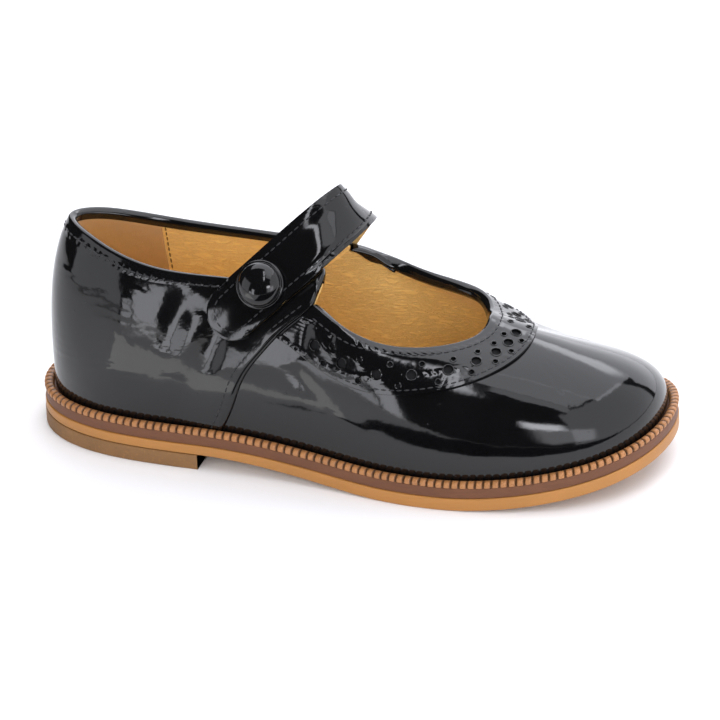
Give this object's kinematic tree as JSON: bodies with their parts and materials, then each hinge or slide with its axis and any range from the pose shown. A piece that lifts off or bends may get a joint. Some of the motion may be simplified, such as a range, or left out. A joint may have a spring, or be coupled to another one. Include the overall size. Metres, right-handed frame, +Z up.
{
  "type": "child's bar shoe",
  "caption": "Right shoe for a child in black patent leather: perforated throat trim, bar strap closed with a domed button, notched tan welt and a low heel.",
  "frame": {"origin": "on the floor, under the middle of the sole's outline", "axes": "+X from heel to toe, +Y to the inner side of the foot, +Z up"},
  "size_m": [0.183, 0.0716, 0.0778],
  "materials": {
    "heel_lift": "matt brown rubber",
    "outsole": "honey-coloured rubber with a smooth edge",
    "midsole": "dark stained board",
    "welt": "tan, notched across",
    "insole": "smooth tan lining leather",
    "upper": "black patent leather, lined with tan leather",
    "throat_trim": "black patent leather with punched holes",
    "strap": "black patent leather",
    "button": "domed, covered in black patent leather"
  },
  "bodies": {
    "root": {"heel_lift": "heel_lift", "outsole": "outsole", "midsole": "midsole", "welt": "welt", "insole": "insole", "upper": "upper", "throat_trim": "throat_trim", "strap": "strap", "button": "button"}
  },
  "joints": []
}
